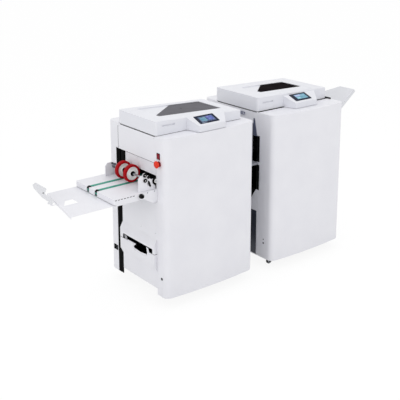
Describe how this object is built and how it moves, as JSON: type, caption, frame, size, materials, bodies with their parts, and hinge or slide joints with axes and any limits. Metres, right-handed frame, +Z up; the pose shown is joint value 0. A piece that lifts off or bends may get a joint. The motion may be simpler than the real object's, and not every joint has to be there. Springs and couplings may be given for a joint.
{
  "type": "booklet maker",
  "caption": "Floor-standing booklet making line: a stitching and folding cabinet docked to a trimming cabinet with a belt delivery deck, lift-up lids and touch consoles.",
  "frame": {"origin": "on the floor, below the middle of the whole line's box", "axes": "+X along the feed line towards the infeed end, +Y from the operator's side to the back, +Z up"},
  "size_m": [2.1962, 0.681, 1.089],
  "materials": {
    "white_paint": "powder-coated white, satin",
    "white_moulding": "white ABS moulding, fine texture",
    "grey_paint": "pale grey powder coat",
    "frame_steel": "grey enamel on steel plate",
    "steel": "ground steel",
    "black_plastic": "moulded black nylon",
    "window": "smoked acrylic pane",
    "screen": "touch screen in a dark blue bezel",
    "red_rubber": "red polyurethane tyre",
    "white_plastic": "turned white acetal",
    "green_belt": "green polyurethane belt",
    "red_plastic": "red moulded plastic",
    "castor_tyre": "black rubber tyre"
  },
  "bodies": {
    "frame": {"trimmer_base_pan": "grey_paint", "trimmer_front_plate": "white_paint", "trimmer_back_plate": "white_paint", "trimmer_front_cover": "white_paint", "trimmer_back_cover": "white_paint", "trimmer_upper_end_panel": "white_paint", "trimmer_lower_end_panel": "white_paint", "trimmer_infeed_panel": "white_paint", "trimmer_deck": "white_paint", "trimmer_deck_belt_front": "green_belt", "trimmer_deck_belt_back": "green_belt", "trimmer_timing_belt": "black_plastic", "trimmer_power_inlet": "black_plastic", "trimmer_knife_bed": "frame_steel", "folder_base_pan": "grey_paint", "folder_front_plate": "frame_steel", "folder_back_plate": "frame_steel", "folder_front_cover": "white_paint", "folder_back_cover": "white_paint", "folder_exit_panel": "white_paint", "folder_infeed_panel": "white_paint", "transfer_bridge": "grey_paint"},
    "trimmer_lid": {"trimmer_lid": "white_moulding", "trimmer_lid_window": "window", "trimmer_screen": "screen"},
    "folder_lid": {"folder_lid": "white_moulding", "folder_lid_window": "window", "folder_screen": "screen"},
    "waste_bin": {"trimmer_waste_bin": "white_paint"},
    "extension_tray": {"trimmer_extension_tray": "white_paint"},
    "end_stop": {"trimmer_end_stop": "grey_paint"},
    "tray_knob": {"trimmer_tray_knob": "black_plastic"},
    "emergency_stop": {"trimmer_emergency_stop": "red_plastic"},
    "power_rocker": {"trimmer_power_rocker": "red_plastic"},
    "drive_shaft": {"trimmer_drive_shaft": "steel"},
    "tail_shaft": {"trimmer_tail_shaft": "steel"},
    "timing_disc": {"trimmer_timing_disc": "white_plastic"},
    "idler": {"trimmer_idler": "steel"},
    "hold_down": {"trimmer_hold_down_hubs": "white_plastic", "trimmer_hold_down_tyre_front": "red_rubber", "trimmer_hold_down_tyre_back": "red_rubber"},
    "knife": {"trimmer_knife": "steel"},
    "press_roller_lower": {"trimmer_press_roller_lower": "steel"},
    "press_roller_upper": {"trimmer_press_roller_upper": "steel"},
    "fold_roller_lower": {"folder_fold_roller_lower": "steel"},
    "fold_roller_upper": {"folder_fold_roller_upper": "steel"},
    "fold_blade": {"folder_fold_blade": "steel"},
    "stapling_head": {"folder_stapling_head": "frame_steel"},
    "infeed_tray": {"folder_infeed_tray": "white_paint"},
    "lid_catch": {"folder_lid_catch": "black_plastic"},
    "dock_latch": {"folder_dock_latch": "grey_paint"},
    "castor_front_left": {"folder_castor_front_left": "steel"},
    "castor_wheel_front_left": {"folder_castor_wheel_front_left": "castor_tyre"},
    "castor_front_right": {"folder_castor_front_right": "steel"},
    "castor_wheel_front_right": {"folder_castor_wheel_front_right": "castor_tyre"},
    "castor_back_left": {"folder_castor_back_left": "steel"},
    "castor_wheel_back_left": {"folder_castor_wheel_back_left": "castor_tyre"},
    "castor_back_right": {"folder_castor_back_right": "steel"},
    "castor_wheel_back_right": {"folder_castor_wheel_back_right": "castor_tyre"}
  },
  "joints": [
    {"name": "trimmer_lid_hinge", "type": "hinge", "parent": "frame", "child": "trimmer_lid", "pos_m": [-0.24357, 0.1373, 1.0048], "axis": [-1, 0, 0], "range_deg": [0, 70]},
    {"name": "folder_lid_hinge", "type": "hinge", "parent": "frame", "child": "folder_lid", "pos_m": [0.56043, 0.2253, 1.0048], "axis": [-1, 0, 0], "range_deg": [0, 70]},
    {"name": "waste_bin_slide", "type": "slide", "parent": "frame", "child": "waste_bin", "axis": [-1, 0, 0], "range_m": [0, 0.26]},
    {"name": "extension_tray_slide", "type": "slide", "parent": "frame", "child": "extension_tray", "axis": [1, 0, 0], "range_m": [0, 0.16]},
    {"name": "end_stop_hinge", "type": "hinge", "parent": "extension_tray", "child": "end_stop", "pos_m": [-1.09457, -0.0155, 0.6706], "axis": [0, 1, 0], "range_deg": [0, 90]},
    {"name": "tray_knob_turn", "type": "hinge", "parent": "frame", "child": "tray_knob", "pos_m": [-0.66757, -0.2625, 0.686], "axis": [0, -1, 0], "range_deg": [0, 270]},
    {"name": "emergency_stop_push", "type": "slide", "parent": "frame", "child": "emergency_stop", "axis": [1, 0, 0], "range_m": [0, 0.004], "stiffness_N_per_m": 1500, "springref_m": -0.003},
    {"name": "power_rocker_tilt", "type": "hinge", "parent": "frame", "child": "power_rocker", "pos_m": [-0.55457, -0.2635, 0.892], "axis": [0, 1, 0], "range_deg": [0, 16]},
    {"name": "deck_drive", "type": "hinge", "parent": "frame", "child": "drive_shaft", "pos_m": [-0.48857, -0.0525, 0.6868], "axis": [0, 1, 0], "continuous": true},
    {"name": "tail_shaft_turn", "type": "hinge", "parent": "frame", "child": "tail_shaft", "pos_m": [-0.82057, -0.0525, 0.6868], "axis": [0, 1, 0], "continuous": true},
    {"name": "timing_disc_turn", "type": "hinge", "parent": "frame", "child": "timing_disc", "pos_m": [-0.55257, -0.2325, 0.745], "axis": [0, 1, 0], "continuous": true},
    {"name": "idler_turn", "type": "hinge", "parent": "frame", "child": "idler", "pos_m": [-0.62457, -0.2325, 0.76], "axis": [0, 1, 0], "continuous": true},
    {"name": "hold_down_turn", "type": "hinge", "parent": "frame", "child": "hold_down", "pos_m": [-0.60057, -0.0525, 0.7542], "axis": [0, 1, 0], "continuous": true},
    {"name": "knife_cut", "type": "slide", "parent": "frame", "child": "knife", "axis": [0, 0, -1], "range_m": [0, 0.022]},
    {"name": "press_roller_lower_turn", "type": "hinge", "parent": "frame", "child": "press_roller_lower", "pos_m": [-0.22457, -0.0525, 0.678], "axis": [0, 1, 0], "continuous": true},
    {"name": "press_roller_upper_turn", "type": "hinge", "parent": "frame", "child": "press_roller_upper", "pos_m": [-0.22457, -0.0525, 0.7226], "axis": [0, 1, 0], "continuous": true},
    {"name": "fold_roller_lower_turn", "type": "hinge", "parent": "frame", "child": "fold_roller_lower", "pos_m": [0.44543, 0.0075, 0.68], "axis": [0, 1, 0], "continuous": true},
    {"name": "fold_roller_upper_turn", "type": "hinge", "parent": "frame", "child": "fold_roller_upper", "pos_m": [0.44543, 0.0075, 0.7206], "axis": [0, 1, 0], "continuous": true},
    {"name": "fold_blade_push", "type": "slide", "parent": "frame", "child": "fold_blade", "axis": [-1, 0, 0], "range_m": [0, 0.025]},
    {"name": "stapling_stroke", "type": "slide", "parent": "frame", "child": "stapling_head", "axis": [0, 0, -1], "range_m": [0, 0.015]},
    {"name": "infeed_tray_fold", "type": "hinge", "parent": "frame", "child": "infeed_tray", "pos_m": [0.88943, -0.0425, 0.888], "axis": [0, 1, 0], "range_deg": [-50, 0]},
    {"name": "lid_catch_turn", "type": "hinge", "parent": "frame", "child": "lid_catch", "pos_m": [0.87293, -0.1665, 1.004], "axis": [0, 0, 1], "range_deg": [0, 90]},
    {"name": "dock_latch_turn", "type": "hinge", "parent": "frame", "child": "dock_latch", "pos_m": [0.25143, -0.0565, 0.971], "axis": [-1, 0, 0], "range_deg": [0, 90]},
    {"name": "castor_swivel_front_left", "type": "hinge", "parent": "frame", "child": "castor_front_left", "pos_m": [0.30943, -0.2385, 0.045], "axis": [0, 0, 1], "continuous": true},
    {"name": "castor_roll_front_left", "type": "hinge", "parent": "castor_front_left", "child": "castor_wheel_front_left", "pos_m": [0.32143, -0.2385, 0.02], "axis": [0, 1, 0], "continuous": true},
    {"name": "castor_swivel_front_right", "type": "hinge", "parent": "frame", "child": "castor_front_right", "pos_m": [0.82543, -0.2385, 0.045], "axis": [0, 0, 1], "continuous": true},
    {"name": "castor_roll_front_right", "type": "hinge", "parent": "castor_front_right", "child": "castor_wheel_front_right", "pos_m": [0.83743, -0.2385, 0.02], "axis": [0, 1, 0], "continuous": true},
    {"name": "castor_swivel_back_left", "type": "hinge", "parent": "frame", "child": "castor_back_left", "pos_m": [0.30943, 0.2505, 0.045], "axis": [0, 0, 1], "continuous": true},
    {"name": "castor_roll_back_left", "type": "hinge", "parent": "castor_back_left", "child": "castor_wheel_back_left", "pos_m": [0.32143, 0.2505, 0.02], "axis": [0, 1, 0], "continuous": true},
    {"name": "castor_swivel_back_right", "type": "hinge", "parent": "frame", "child": "castor_back_right", "pos_m": [0.82543, 0.2505, 0.045], "axis": [0, 0, 1], "continuous": true},
    {"name": "castor_roll_back_right", "type": "hinge", "parent": "castor_back_right", "child": "castor_wheel_back_right", "pos_m": [0.83743, 0.2505, 0.02], "axis": [0, 1, 0], "continuous": true}
  ],
  "couplings": [
    {"joint": "tail_shaft_turn", "follows": "deck_drive", "ratio": 1},
    {"joint": "timing_disc_turn", "follows": "deck_drive", "ratio": 0.4762},
    {"joint": "hold_down_turn", "follows": "deck_drive", "ratio": -0.2904},
    {"joint": "press_roller_upper_turn", "follows": "press_roller_lower_turn", "ratio": -1},
    {"joint": "fold_roller_upper_turn", "follows": "fold_roller_lower_turn", "ratio": -1}
  ]
}
